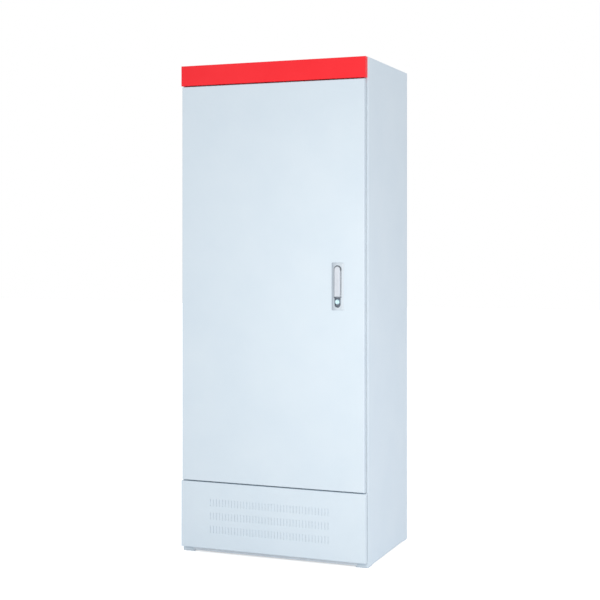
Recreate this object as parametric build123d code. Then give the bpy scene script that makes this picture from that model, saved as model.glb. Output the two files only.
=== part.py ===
"""Floor-standing electrical distribution cabinet with a swing-handle lock.

X runs to the right, Y to the back and Z up, in millimetres. The origin is on the floor under the middle of
the body. The header strip, the door and the plinth panel are folded pans that stand in front of the body.
"""
import os

from build123d import *

# Body
height = 1500.0
body_width = 605.0
body_depth = 395.0
sheet = 1.5
bend_radius = 2.5
foot_height = 3.0
foot_size = 40.0
anchor_hole_radius = 6.5
flange_width = 34.5
back_flange_width = 22.0
roof_lip = 20.0
rail_lip = 16.0
sill_reach = 24.0

# Front skins
front_proud = 20.0
header_height = 61.5
skin_side_inset = 2.5
door_side_inset = 6.0
door_body_gap = 4.5
panel_gap = 3.5
plinth_bottom = 17.0
plinth_top = 220.0

# Vent slots in the plinth panel
slot_columns = 39
slot_rows = 3
slot_pitch = 10.1
slot_row_pitch = 41.0
slot_length = 22.0
slot_width = 2.6
slot_field_shift = -7.4
slot_top_row = 159.0
filter_thickness = 6.0
filter_border = 14.0

# Base
tray_sheet = 2.0
tray_lip = 36.0
gland_opening_width = 320.0
gland_opening_depth = 120.0
gland_plate_overlap = 18.0
gland_plate_sheet = 2.0

# Inner frame
post_width = 24.0
post_depth = 26.0
post_sheet = 2.0
post_hole_radius = 4.5
post_hole_pitch = 50.0
beam_height = 40.0
beam_depth = 15.0
beam_sheet = 2.0
beam_margin = 70.0
plate_width = 500.0
plate_sheet = 2.5
plate_lip = 15.0
plate_margin = 30.0
plate_screw_inset = 22.0
earth_bar_length = 300.0
earth_bar_height = 25.0
earth_bar_thickness = 5.0
earth_bar_level = 120.0
earth_bar_standoff = 30.0
earth_bar_screw_pitch = 30.0
cable_rail_level = 196.0
cable_rail_height = 30.0
cable_rail_depth = 12.0
cable_rail_hole_pitch = 25.0

# Door seal, stiffeners and pocket
seal_width = 12.0
seal_thickness = 8.5
seal_gap = 0.3
stiffener_width = 20.0
stiffener_depth = 14.0
stiffener_foot = 10.0
stiffener_end_gap = 50.0
stiffener_from_edge = 91.5
stiffener_from_lock = 55.0
pocket_width = 240.0
pocket_height = 190.0
pocket_depth = 22.0
pocket_wall = 2.0
pocket_level = 520.0

# Hinges
hinge_inset = 7.0
hinge_stand_off = 12.0
hinge_end_margin = 150.0
hinge_pin_radius = 2.5
hinge_knuckle_radius = 4.5
hinge_bracket_height = 20.0
hinge_bracket_width = 15.5
hinge_leaf_height = 12.0
hinge_leaf_width = 15.5
hinge_plate = 2.0
hinge_web = 2.0
hinge_notch_margin = 2.5
hinge_leaf_cut_margin = 1.2

# Lock bezel, measured from the door's right edge and the floor
lock_from_edge = 81.5
lock_level = 826.0
bezel_width = 38.0
bezel_height = 141.0
bezel_proud = 3.0
bezel_edge = 0.8
bezel_slope = 4.5
bezel_corner = 3.5
bezel_wall = 2.0
recess_width = 24.5
recess_height = 124.5
recess_depth = 9.0
well_width = 18.5
well_shoulder = 3.0
button_drop = 45.0
button_radius = 7.0
button_proud = 3.5
button_boss_wall = 1.8
button_boss_height = 6.0
plug_radius = 4.5
plug_depth = 5.0
plug_proud = 0.4
key_slot_width = 1.0
key_slot_length = 6.0
stem_radius = 3.0

# Lever and spindle
lever_width = 18.0
lever_thickness = 6.2
lever_reach = 80.0
lever_gap = 0.5
lever_edge = 3.8
cross_pin_radius = 1.5
cross_pin_depth = 2.5
tongue_width = 8.0
tongue_radius = 2.4
tongue_clearance = 0.4
hub_radius = 9.0
hub_thickness = 2.2
spindle_radius = 6.0
spindle_square = 8.0

# Rod drive behind the door
cam_thickness = 3.0
cam_pin_circle = 18.0
cam_pin_radius = 2.5
cam_arm_radius = 6.0
cam_head_radius = 3.8
cam_head_height = 1.0
cam_screw_radius = 4.5
rod_width = 14.0
rod_thickness = 3.0
rod_eye_width = 20.0
rod_eye_height = 18.0
rod_slot_play = 0.75
rod_frame_gap = 1.5
rod_rail_gap = 0.5
rod_guide_from_tip = 62.0
guide_height = 12.0
guide_sheet = 1.5
guide_foot = 10.0
clamp_width = 26.0
clamp_sheet = 2.0
clamp_overhang = 10.0
clamp_gap = 2.5
clamp_boss_radius = 4.0
clamp_screw_rise = 19.0
clamp_screw_drop = 18.0
clamp_screw_end = 1.0
spring_wire = 0.4
spring_radius = 4.4
spring_pitch = 1.7

# Fasteners and clearances
running_clearance = 0.05
face_clearance = 0.3
hole_clearance = 0.4
screw_radius = 3.0
screw_head_radius = 5.0
screw_head_height = 3.0
small_screw_radius = 2.0
small_head_radius = 3.5
small_head_height = 1.8
bush_radius = 6.0
bush_side_inset = 28.0
bush_end_wall = 2.0
plinth_screw_inset = 12.0
tray_screw_drop = 9.0

# Derived faces and levels
half_body = body_width / 2
body_front = -body_depth / 2
body_back = body_depth / 2
half_inner = half_body - sheet
fold_gap = bend_radius - sheet
half_cross = half_inner - fold_gap
front_face = body_front - front_proud
skin_inner = front_face + sheet
header_bottom = height - header_height
skin_half = half_body - skin_side_inset
door_half = half_body - door_side_inset
door_bottom = plinth_top + panel_gap
door_top = header_bottom - panel_gap
door_back = body_front - door_body_gap
opening_half = half_body - flange_width
door_margin = door_half - opening_half
opening_bottom = door_bottom + door_margin
opening_top = door_top - door_margin
seal_back = skin_inner + seal_thickness
rim_front = seal_back + seal_gap
rail_front = body_front + sheet
rail_back = rail_front + sheet
back_sheet_front = body_back - sheet
back_flange_front = back_sheet_front - sheet
tray_top = foot_height + tray_sheet
post_front = rail_back + sheet
post_back = back_flange_front - bend_radius
post_inner = half_inner - post_width
beam_front = post_back - post_depth - beam_depth
plate_front = beam_front - plate_sheet
plate_bottom = opening_bottom + plate_margin
plate_top = opening_top - plate_margin
hinge_x = -door_half + hinge_inset
hinge_y = body_front - hinge_stand_off
lock_x = door_half - lock_from_edge
stiffener_left = -door_half + stiffener_from_edge
stiffener_right = lock_x - stiffener_from_lock
pocket_centre = (stiffener_left + stiffener_right) / 2
bezel_front = front_face - bezel_proud
recess_floor = bezel_front + recess_depth
bezel_back = recess_floor + bezel_wall
recess_top = lock_level + recess_height / 2
spindle_level = recess_top - recess_width / 2
button_level = lock_level - button_drop
clamp_screw_levels = (lock_level + clamp_screw_rise, lock_level - clamp_screw_drop)
lever_back = bezel_front - lever_gap
lever_front = lever_back - lever_thickness
cross_pin_y = lever_back - cross_pin_depth
rod_front = rail_back + rod_rail_gap
rod_back = rod_front + rod_thickness
cam_back = rod_front - face_clearance
cam_front = cam_back - cam_thickness
clamp_back = cam_front - clamp_gap
clamp_front = clamp_back - clamp_sheet
cam_pin_side = cam_pin_circle * 0.5 ** 0.5
rod_offset = (cam_pin_circle + cam_pin_side) / 2


def box(x, y, z):
    """Block between the low and high ends given for each axis."""
    size = (x[1] - x[0], y[1] - y[0], z[1] - z[0])
    middle = ((x[0] + x[1]) / 2, (y[0] + y[1]) / 2, (z[0] + z[1]) / 2)
    return Pos(*middle) * Box(*size)


def rod_x(radius, x, y, z):
    """Cylinder along X between the two ends in x."""
    return Pos((x[0] + x[1]) / 2, y, z) * Rot(0, 90, 0) * Cylinder(radius, x[1] - x[0])


def rod_y(radius, x, y, z):
    """Cylinder along Y between the two ends in y."""
    return Pos(x, (y[0] + y[1]) / 2, z) * Rot(90, 0, 0) * Cylinder(radius, y[1] - y[0])


def rod_z(radius, x, y, z):
    """Cylinder along Z between the two ends in z."""
    return Pos(x, y, (z[0] + z[1]) / 2) * Cylinder(radius, z[1] - z[0])


def hex_y(radius, x, y, z):
    """Hexagonal head along Y between the two ends in y."""
    face = Plane(origin=(x, y[1], z), x_dir=(1, 0, 0), z_dir=(0, -1, 0)) * RegularPolygon(radius, 6)
    return extrude(face, y[1] - y[0])


def folded_x(points, x, thickness=sheet):
    """Sheet folded along a path of (y, z) points in its middle, running along X."""
    plane = Plane(origin=(x[0], 0, 0), x_dir=(0, 1, 0), z_dir=(1, 0, 0))
    path = FilletPolyline(*points, radius=bend_radius - thickness / 2)
    return extrude(plane * trace(path, thickness), x[1] - x[0])


def folded_z(points, z, thickness=sheet):
    """Sheet folded along a path of (x, y) points in its middle, running along Z."""
    path = FilletPolyline(*points, radius=bend_radius - thickness / 2)
    return extrude(Plane.XY.offset(z[0]) * trace(path, thickness), z[1] - z[0])


def front_pan(half_width, z, back):
    """Skin folded back on all four sides, open towards the body."""
    outer = box((-half_width, half_width), (front_face, back), z)
    outer = fillet(outer.faces().sort_by(Axis.Y)[0].edges(), bend_radius)
    inner_half = half_width - sheet
    inner = box((-inner_half, inner_half), (skin_inner, back), (z[0] + sheet, z[1] - sheet))
    inner = fillet(inner.faces().sort_by(Axis.Y)[0].edges(), bend_radius - sheet)
    return outer - inner


def bush(x, z, back):
    """Blind threaded bush welded inside a front skin."""
    body = rod_y(bush_radius, x, (skin_inner, back), z)
    return body - rod_y(screw_radius + running_clearance, x, (skin_inner + bush_end_wall, back), z)


def inside_screw(x, z, carrier):
    """Screw put in from inside, through a carrier's sheet and into a bush of a front skin."""
    head = rail_front + carrier
    shank = rod_y(screw_radius, x, (skin_inner + bush_end_wall + face_clearance, head), z)
    return shank + hex_y(screw_head_radius, x, (head, head + screw_head_height), z)


def bush_points(level):
    """Bushes near both sides at a level."""
    side = opening_half - bush_side_inset
    return [(-side, level), (side, level)]


header_bushes = bush_points((header_bottom + height) / 2)
sill_bushes = bush_points(plinth_top - plinth_screw_inset)
tray_bushes = bush_points(foot_height + tray_lip - tray_screw_drop)


def side_panel(side):
    """Side wall with a front flange, the door rim on it, and a back flange."""
    rim_middle = opening_half + sheet / 2
    flange_middle = body_front + sheet / 2
    wall_middle = half_body - sheet / 2
    back_middle = back_sheet_front - sheet / 2
    points = [
        (side * rim_middle, rim_front),
        (side * rim_middle, flange_middle),
        (side * wall_middle, flange_middle),
        (side * wall_middle, back_middle),
        (side * (half_body - back_flange_width), back_middle),
    ]
    panel = folded_z(points, (foot_height, height))
    reach = (-half_body, half_body)
    for z in ((0, opening_bottom - sheet), (opening_top + sheet, height)):
        panel -= box(reach, (rim_front, body_front), z)
    return panel


def drilled(piece, points, thickness):
    """Clearance holes through a front upstand for the screws at some points."""
    for x, z in points:
        piece -= rod_y(screw_radius + hole_clearance, x, (rail_front, rail_front + thickness), z)
    return piece


def rail(points):
    """Cross rail lapped behind the side flanges, with its rim cut to the opening."""
    bar = folded_x(points, (-half_cross, half_cross))
    for side in (-1, 1):
        ends = sorted((side * opening_half, side * half_body))
        bar -= box(ends, (rim_front, rail_front), (0, height))
    return bar


def top_rail():
    """Rail over the door opening, which also carries the header strip."""
    middle = rail_front + sheet / 2
    rim = opening_top + sheet / 2
    bar = rail([(rim_front, rim), (middle, rim), (middle, height)])
    return drilled(bar, header_bushes, sheet)


def sill_rail():
    """Rail between the door opening and the plinth panel."""
    middle = rail_front + sheet / 2
    rim = opening_bottom - sheet / 2
    low = plinth_top - sill_reach
    bar = rail([(rim_front, rim), (middle, rim), (middle, low), (middle + rail_lip, low)])
    for side in (-1, 1):
        ends = sorted((side * (post_inner - face_clearance), side * half_body))
        bar -= box(ends, (rail_back, middle + rail_lip), (0, height))
    return drilled(bar, sill_bushes, sheet)


def roof_panel():
    """Roof folded down on all sides and welded between the side panels."""
    y = (rail_back, back_flange_front - fold_gap)
    outer = box((-half_inner, half_inner), y, (height - roof_lip, height))
    outer = fillet(outer.faces().sort_by(Axis.Z)[-1].edges(), bend_radius)
    inner_x = (-half_inner + sheet, half_inner - sheet)
    inner = box(inner_x, (y[0] + sheet, y[1] - sheet), (height - roof_lip, height - sheet))
    inner = fillet(inner.faces().sort_by(Axis.Z)[-1].edges(), bend_radius - sheet)
    return outer - inner


def back_screw_points():
    """Screws of the back panel, along both back flanges."""
    side = half_body - back_flange_width / 2 - sheet
    steps = 4
    first = foot_height + tray_lip + screw_head_radius
    last = height - roof_lip - screw_head_radius
    levels = [first + i * (last - first) / (steps - 1) for i in range(steps)]
    return [(x, z) for x in (-side, side) for z in levels]


def back_panel():
    """Flat sheet screwed on the back flanges."""
    panel = box((-half_body, half_body), (back_sheet_front, body_back), (foot_height, height))
    panel = fillet(panel.faces().sort_by(Axis.Y)[-1].edges(), sheet / 2)
    for x, z in back_screw_points():
        panel -= rod_y(small_screw_radius + running_clearance, x, (back_sheet_front, body_back), z)
    return panel


def back_panel_screws():
    """Pan-head screws whose threads end in the back panel's holes."""
    screws = Part()
    for x, z in back_screw_points():
        head = rod_y(small_head_radius, x, (body_back, body_back + small_head_height), z)
        head = fillet(head.edges().sort_by(Axis.Y)[-1], small_head_height / 2)
        screws += head + rod_y(small_screw_radius, x, (back_sheet_front, body_back), z)
    return screws


def anchor_points():
    """Floor anchors in the middle of each foot plate."""
    x = half_body - foot_size / 2
    y = body_depth / 2 - foot_size / 2
    return [(-x, -y), (x, -y), (-x, y), (x, y)]


def foot_plate(x, y):
    """Square plate under a corner, with its anchor hole."""
    half = foot_size / 2
    plate = box((x - half, x + half), (y - half, y + half), (0, foot_height))
    plate = fillet(plate.edges().filter_by(Axis.Z), 2 * sheet)
    return plate - rod_z(anchor_hole_radius, x, y, (0, foot_height))


def base_tray():
    """Floor of the cabinet, folded up at the front and back."""
    front = rail_front + tray_sheet / 2
    back = back_flange_front - tray_sheet / 2
    low = foot_height + tray_sheet / 2
    top = foot_height + tray_lip
    points = [(front, top), (front, low), (back, low), (back, top)]
    tray = folded_x(points, (-half_cross, half_cross), tray_sheet)
    for x, y in anchor_points():
        tray -= rod_z(anchor_hole_radius, x, y, (foot_height, tray_top))
    half_width = gland_opening_width / 2
    half_depth = gland_opening_depth / 2
    tray -= box((-half_width, half_width), (-half_depth, half_depth), (foot_height, tray_top))
    return drilled(tray, tray_bushes, tray_sheet)


def gland_points():
    """Screws at the corners of the gland plate."""
    x = gland_opening_width / 2 + gland_plate_overlap / 2
    y = gland_opening_depth / 2 + gland_plate_overlap / 2
    return [(-x, -y), (x, -y), (-x, y), (x, y)]


def gland_plate():
    """Blank plate over the cable entry, drilled on site for glands."""
    half_width = gland_opening_width / 2 + gland_plate_overlap
    half_depth = gland_opening_depth / 2 + gland_plate_overlap
    z = (tray_top, tray_top + gland_plate_sheet)
    plate = box((-half_width, half_width), (-half_depth, half_depth), z)
    return fillet(plate.edges().filter_by(Axis.Z), bend_radius)


def gland_plate_screws():
    """Heads of the four gland plate screws."""
    screws = Part()
    level = tray_top + gland_plate_sheet
    for x, y in gland_points():
        screws += rod_z(small_head_radius, x, y, (level, level + small_head_height))
    return screws


def header_strip():
    """Red strip over the door, a pan whose returns meet the body's front."""
    strip = front_pan(skin_half, (header_bottom, height), body_front)
    for x, z in header_bushes:
        strip += bush(x, z, rail_front)
    return strip


def header_screws():
    """Screws of the header strip, through the top rail."""
    return Part() + [inside_screw(x, z, sheet) for x, z in header_bushes]


def plinth_screws():
    """Screws of the plinth panel, through the sill rail and the tray's upstand."""
    upper = [inside_screw(x, z, sheet) for x, z in sill_bushes]
    lower = [inside_screw(x, z, tray_sheet) for x, z in tray_bushes]
    return Part() + upper + lower


def slot_columns_x():
    """Middles of the slot columns."""
    first = slot_field_shift - slot_pitch * (slot_columns - 1) / 2
    return [first + i * slot_pitch for i in range(slot_columns)]


def slot_rows_z():
    """Middles of the slot rows, from the top down."""
    return [slot_top_row - i * slot_row_pitch for i in range(slot_rows)]


def plinth_panel():
    """Removable lower panel with three rows of upright slots."""
    panel = front_pan(skin_half, (plinth_bottom, plinth_top), door_back)
    plane = Plane(origin=(0, front_face, 0), x_dir=(1, 0, 0), z_dir=(0, -1, 0))
    slot = SlotOverall(slot_length, slot_width, rotation=90)
    slots = Sketch() + [Pos(x, z) * slot for x in slot_columns_x() for z in slot_rows_z()]
    panel -= extrude(plane * slots, -sheet)
    for x, z in sill_bushes + tray_bushes:
        panel += bush(x, z, rail_front)
    return panel


def vent_filter():
    """Light mat behind the slots that keeps dust out."""
    columns = slot_columns_x()
    rows = slot_rows_z()
    x = (columns[0] - filter_border, columns[-1] + filter_border)
    z = (rows[-1] - slot_length / 2 - filter_border, rows[0] + slot_length / 2 + filter_border)
    return box(x, (skin_inner, skin_inner + filter_thickness), z)


def post(side, front):
    """Perforated channel that stands in a corner, open towards the side wall."""
    near = post_sheet / 2
    if front:
        y = (post_front, post_front + post_depth)
    else:
        y = (post_back - post_depth, post_back)
    inner = side * (post_inner + near)
    points = [
        (side * half_inner, y[0] + near),
        (inner, y[0] + near),
        (inner, y[1] - near),
        (side * half_inner, y[1] - near),
    ]
    z = (tray_top, height - roof_lip)
    channel = folded_z(points, z, post_sheet)
    count = int((z[1] - z[0]) / post_hole_pitch)
    first = (z[0] + z[1]) / 2 - (count - 1) * post_hole_pitch / 2
    wall = sorted((side * post_inner, side * (post_inner + post_sheet)))
    for i in range(count):
        channel -= rod_x(post_hole_radius, wall, (y[0] + y[1]) / 2, first + i * post_hole_pitch)
    return channel


def beam_levels():
    """Middles of the lower and upper cross beams."""
    return (plate_bottom + beam_margin, plate_top - beam_margin)


def cross_beam(level):
    """Channel between the back posts that carries the mounting plate."""
    near = beam_sheet / 2
    back = post_back - post_depth
    z = (level - beam_height / 2 + near, level + beam_height / 2 - near)
    points = [(back, z[0]), (beam_front + near, z[0]), (beam_front + near, z[1]), (back, z[1])]
    reach = half_inner - sheet
    return folded_x(points, (-reach, reach), beam_sheet)


def plate_screw_points():
    """Where the mounting plate is screwed to the cross beams."""
    side = plate_width / 2 - plate_screw_inset
    return [(x, z) for x in (-side, side) for z in beam_levels()]


def countersunk(radius, x, z):
    """Cone from the mounting plate's front face down to a screw's radius at its back."""
    cone = Cone(radius, radius + plate_sheet, plate_sheet)
    return Pos(x, plate_front + plate_sheet / 2, z) * Rot(90, 0, 0) * cone


def mounting_plate():
    """Plate for the switchgear, with both sides folded forwards and countersunk screw holes."""
    side = plate_width / 2 - plate_sheet / 2
    middle = plate_front + plate_sheet / 2
    tip = plate_front - plate_lip
    points = [(-side, tip), (-side, middle), (side, middle), (side, tip)]
    plate = folded_z(points, (plate_bottom, plate_top), plate_sheet)
    for x, z in plate_screw_points():
        plate -= countersunk(screw_radius, x, z)
    return plate


def mounting_plate_screws():
    """Countersunk heads, flush with the mounting plate and seated on the cross beams."""
    screws = Part()
    for x, z in plate_screw_points():
        screws += countersunk(screw_radius - running_clearance, x, z)
    return screws


def earth_bar_back():
    """Back face of the earth bar, which stands in front of the back panel."""
    return back_sheet_front - earth_bar_standoff


def earth_bar():
    """Drilled copper alloy bar."""
    half = earth_bar_length / 2
    back = earth_bar_back()
    z = (earth_bar_level - earth_bar_height / 2, earth_bar_level + earth_bar_height / 2)
    bar = box((-half, half), (back - earth_bar_thickness, back), z)
    return fillet(bar.edges().filter_by(Axis.Y), bend_radius)


def earth_bar_standoffs():
    """Two pillars that hold the earth bar off the back panel."""
    pillars = Part()
    side = earth_bar_length / 2 - earth_bar_screw_pitch / 2
    for x in (-side, side):
        pillars += hex_y(bush_radius, x, (earth_bar_back(), back_sheet_front), earth_bar_level)
    return pillars


def earth_bar_screws():
    """Row of terminal screws on the earth bar."""
    screws = Part()
    front = earth_bar_back() - earth_bar_thickness
    count = int(earth_bar_length / earth_bar_screw_pitch) - 1
    first = -(count - 1) * earth_bar_screw_pitch / 2
    for i in range(count):
        x = first + i * earth_bar_screw_pitch
        screws += hex_y(screw_head_radius, x, (front - screw_head_height, front), earth_bar_level)
    return screws


def cable_rail():
    """Slotted channel between the front posts, to which cables are tied."""
    near = post_sheet / 2
    front = post_front + post_depth
    z = (cable_rail_level - cable_rail_height / 2 + near, cable_rail_level + cable_rail_height / 2 - near)
    back = front + cable_rail_depth
    points = [(back, z[0]), (front + near, z[0]), (front + near, z[1]), (back, z[1])]
    reach = half_inner - sheet
    bar = folded_x(points, (-reach, reach), post_sheet)
    count = int(2 * post_inner / cable_rail_hole_pitch)
    first = -(count - 1) * cable_rail_hole_pitch / 2
    for i in range(count):
        x = first + i * cable_rail_hole_pitch
        bar -= rod_y(post_hole_radius, x, (front, front + post_sheet), cable_rail_level)
    return bar


def hinge_levels():
    """Middles of the three hinges, from the bottom up."""
    low = door_bottom + hinge_end_margin
    high = door_top - hinge_end_margin
    return (low, (low + high) / 2, high)


def hinge_bracket(level):
    """Bracket on the body's flange, with the middle knuckle of the hinge."""
    z = (level - hinge_bracket_height / 2, level + hinge_bracket_height / 2)
    web_right = hinge_x + hinge_knuckle_radius
    web_left = web_right - hinge_web
    bracket = rod_z(hinge_knuckle_radius, hinge_x, hinge_y, z)
    bracket += box((web_left, web_right), (hinge_y, body_front), z)
    bracket += box((web_left, web_left + hinge_bracket_width), (body_front - hinge_plate, body_front), z)
    return bracket - rod_z(hinge_pin_radius + running_clearance, hinge_x, hinge_y, z)


def hinge_screw_x():
    """Middle of the bracket's foot between its web and its free edge."""
    web_right = hinge_x + hinge_knuckle_radius
    return web_right + (hinge_bracket_width - hinge_web) / 2


def hinge_screws():
    """Heads of the screws that hold the brackets, two for each."""
    screws = Part()
    front = body_front - hinge_plate
    for level in hinge_levels():
        for z in (level - hinge_bracket_height / 4, level + hinge_bracket_height / 4):
            screws += rod_y(small_head_radius, hinge_screw_x(), (front - small_head_height, front), z)
    return screws


def hinge_leaf(level):
    """Leaf welded inside the door, with a knuckle over and under the bracket's."""
    bracket_half = hinge_bracket_height / 2
    near = bracket_half + face_clearance
    far = near + hinge_leaf_height
    left = hinge_x - hinge_leaf_cut_margin
    back = skin_inner + hinge_plate
    leaf = box((left, left + hinge_leaf_width), (skin_inner, back), (level - far, level + far))
    cut_right = hinge_x + hinge_knuckle_radius + hinge_leaf_cut_margin
    cut_half = bracket_half + hinge_leaf_cut_margin
    leaf -= box((left, cut_right), (skin_inner, back), (level - cut_half, level + cut_half))
    for z in ((level - far, level - near), (level + near, level + far)):
        leaf += rod_z(hinge_knuckle_radius, hinge_x, hinge_y, z)
        leaf += box((hinge_x, hinge_x + hinge_knuckle_radius), (back, hinge_y), z)
        leaf -= rod_z(hinge_pin_radius + running_clearance, hinge_x, hinge_y, z)
    return leaf


def hinge_pins():
    """Headed pins dropped through the knuckles from above."""
    pins = Part()
    reach = hinge_bracket_height / 2 + hinge_leaf_height + 2 * face_clearance
    for level in hinge_levels():
        top = level + reach
        pins += rod_z(hinge_pin_radius, hinge_x, hinge_y, (level - reach - sheet, top))
        pins += rod_z(hinge_knuckle_radius - hole_clearance, hinge_x, hinge_y, (top, top + sheet))
    return pins


def stadium(width, tall, y, middle=lock_level):
    """Upright slot-shaped block centred on the lock."""
    plane = Plane(origin=(lock_x, y[1], middle), x_dir=(1, 0, 0), z_dir=(0, -1, 0))
    return extrude(plane * SlotOverall(tall, width, rotation=90), y[1] - y[0])


def door_panel():
    """Door skin with notches for the hinges and a hole for the lock."""
    panel = front_pan(door_half, (door_bottom, door_top), door_back)
    notch = hinge_bracket_height / 2 + hinge_notch_margin
    for level in hinge_levels():
        x = (-door_half, -door_half + sheet)
        panel -= box(x, (front_face + bend_radius, door_back), (level - notch, level + notch))
    around = 2 * (bezel_wall + face_clearance)
    panel -= stadium(recess_width + around, recess_height + around, (front_face, skin_inner))
    return panel


def door_seal():
    """Foam seal on the door, which the body's rim presses."""
    middle = opening_half + sheet / 2
    low = opening_bottom - sheet / 2
    high = opening_top + sheet / 2
    half = seal_width / 2
    y = (skin_inner, seal_back)
    ring = box((-middle - half, middle + half), y, (low - half, high + half))
    ring -= box((-middle + half, middle - half), y, (low + half, high - half))
    return ring


def door_stiffener(middle):
    """Hat section welded inside the door."""
    half = stiffener_width / 2
    near = skin_inner + sheet / 2
    deep = skin_inner + stiffener_depth - sheet / 2
    points = [
        (middle - half - stiffener_foot, near),
        (middle - half + sheet / 2, near),
        (middle - half + sheet / 2, deep),
        (middle + half - sheet / 2, deep),
        (middle + half - sheet / 2, near),
        (middle + half + stiffener_foot, near),
    ]
    return folded_z(points, (opening_bottom + stiffener_end_gap, opening_top - stiffener_end_gap))


def document_pocket():
    """Moulded pocket for papers, open at the top and lower in front."""
    x = (pocket_centre - pocket_width / 2, pocket_centre + pocket_width / 2)
    y = (skin_inner, skin_inner + pocket_depth)
    z = (pocket_level, pocket_level + pocket_height)
    pocket = box(x, y, z)
    pocket = fillet(pocket.edges().filter_by(Axis.Y), 4 * pocket_wall)
    inner_x = (x[0] + pocket_wall, x[1] - pocket_wall)
    inner = box(inner_x, (y[0] + pocket_wall, y[1] - pocket_wall), (z[0] + pocket_wall, z[1] + pocket_wall))
    pocket -= inner
    return pocket - box(inner_x, (y[0] + pocket_wall, y[1]), (z[1] - pocket_height / 4, z[1]))


def door_earth_stud():
    """Welded stud with its nut, for an earth strap."""
    x = stiffener_left + stiffener_width / 2 + stiffener_foot + 4 * screw_radius
    z = opening_bottom + stiffener_end_gap
    stud = rod_y(screw_radius, x, (skin_inner, skin_inner + 6 * screw_radius), z)
    return stud + hex_y(screw_head_radius, x, (skin_inner + screw_radius, skin_inner + 2 * screw_radius), z)


def bezel_outline(y, inset):
    """Rounded rectangle of the lock's plate at a depth, drawn in by an inset."""
    plane = Plane(origin=(lock_x, y, lock_level), x_dir=(1, 0, 0), z_dir=(0, -1, 0))
    corner = max(bezel_corner - inset, bezel_edge)
    return plane * RectangleRounded(bezel_width - 2 * inset, bezel_height - 2 * inset, corner)


def lock_recess():
    """Hollow of the tub: wide behind the lever, and narrow round the button under it."""
    y = (bezel_front, recess_floor)
    bottom = recess_top - recess_height
    shoulder = spindle_level - lever_reach - well_shoulder
    half = recess_width / 2
    hollow = rod_y(half, lock_x, y, spindle_level)
    hollow += box((lock_x - half, lock_x + half), y, (shoulder, spindle_level))
    hollow += rod_y(well_width / 2, lock_x, y, bottom + well_width / 2)
    well_x = (lock_x - well_width / 2, lock_x + well_width / 2)
    return hollow + box(well_x, y, (bottom + well_width / 2, shoulder))


def lock_bezel():
    """Cast lock body: a plate on the door, with a tub that holds the recess."""
    bezel = extrude(bezel_outline(front_face, 0), bezel_edge)
    bezel += loft([bezel_outline(front_face - bezel_edge, 0), bezel_outline(bezel_front, bezel_slope)])
    around = 2 * bezel_wall
    bezel += stadium(recess_width + around, recess_height + around, (front_face, bezel_back))
    bezel -= lock_recess()
    boss = button_radius + running_clearance + button_boss_wall
    bezel += rod_y(boss, lock_x, (recess_floor - button_boss_height, bezel_back), button_level)
    for level in clamp_screw_levels:
        bezel += rod_y(clamp_boss_radius, lock_x, (recess_floor, clamp_front), level)
        hole = (bezel_back, clamp_front)
        bezel -= rod_y(small_screw_radius + running_clearance, lock_x, hole, level)
    bezel -= rod_y(spindle_radius + running_clearance, lock_x, (recess_floor, bezel_back), spindle_level)
    bore = (recess_floor - button_boss_height, bezel_back)
    return bezel - rod_y(button_radius + running_clearance, lock_x, bore, button_level)


def lock_clamp():
    """Strap bridged behind the door that pulls the bezel tight."""
    tall = recess_height / 2 + bezel_wall + clamp_overhang
    near = clamp_front + clamp_sheet / 2
    z = (lock_level - tall, lock_level + tall)
    points = [(skin_inner, z[0]), (near, z[0]), (near, z[1]), (skin_inner, z[1])]
    x = (lock_x - clamp_width / 2, lock_x + clamp_width / 2)
    clamp = folded_x(points, x, clamp_sheet)
    y = (clamp_front, clamp_back)
    clamp -= rod_y(spindle_radius + hole_clearance, lock_x, y, spindle_level)
    clamp -= rod_y(stem_radius + hole_clearance, lock_x, y, button_level)
    for level in clamp_screw_levels:
        clamp -= rod_y(small_screw_radius + running_clearance, lock_x, y, level)
    return clamp


def lock_clamp_screws():
    """Two screws through the clamp into the bezel's bosses."""
    screws = Part()
    for level in clamp_screw_levels:
        screws += rod_y(small_screw_radius, lock_x, (bezel_back + clamp_screw_end, clamp_back), level)
        screws += rod_y(small_head_radius, lock_x, (clamp_back, clamp_back + small_head_height), level)
    return screws


def handle_spindle():
    """Turned spindle with a tongue for the lever in front and a square for the cam behind."""
    disc_back = recess_floor - face_clearance
    disc_front = disc_back - hub_thickness
    spindle = rod_y(hub_radius, lock_x, (disc_front, disc_back), spindle_level)
    spindle += rod_y(spindle_radius, lock_x, (disc_back, cam_front), spindle_level)
    half = tongue_width / 2
    x = (lock_x - half, lock_x + half)
    z = (spindle_level - tongue_radius, spindle_level + tongue_radius)
    spindle += box(x, (cross_pin_y, disc_front), z)
    spindle += rod_x(tongue_radius, x, cross_pin_y, spindle_level)
    spindle -= rod_x(cross_pin_radius + running_clearance, x, cross_pin_y, spindle_level)
    square = spindle_square / 2
    square_x = (lock_x - square, lock_x + square)
    return spindle + box(square_x, (cam_front, cam_back), (spindle_level - square, spindle_level + square))


def handle_lever():
    """Lever that hangs over the recess, with a slot for the spindle's tongue."""
    half = lever_width / 2
    low = spindle_level - lever_reach
    lever = rod_y(half, lock_x, (lever_front, lever_back), spindle_level)
    lever += box((lock_x - half, lock_x + half), (lever_front, lever_back), (low, spindle_level))
    lever = fillet(lever.faces().sort_by(Axis.Y)[0].edges(), lever_edge)
    slot_half = tongue_width / 2 + face_clearance
    low_wall = spindle_level - tongue_radius - tongue_clearance
    high_wall = spindle_level + 2 * tongue_radius + face_clearance
    floor = cross_pin_y - tongue_radius - face_clearance
    lever -= box((lock_x - slot_half, lock_x + slot_half), (floor, lever_back), (low_wall, high_wall))
    hole = (lock_x - half, lock_x + half)
    return lever - rod_x(cross_pin_radius + running_clearance, hole, cross_pin_y, spindle_level)


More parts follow.
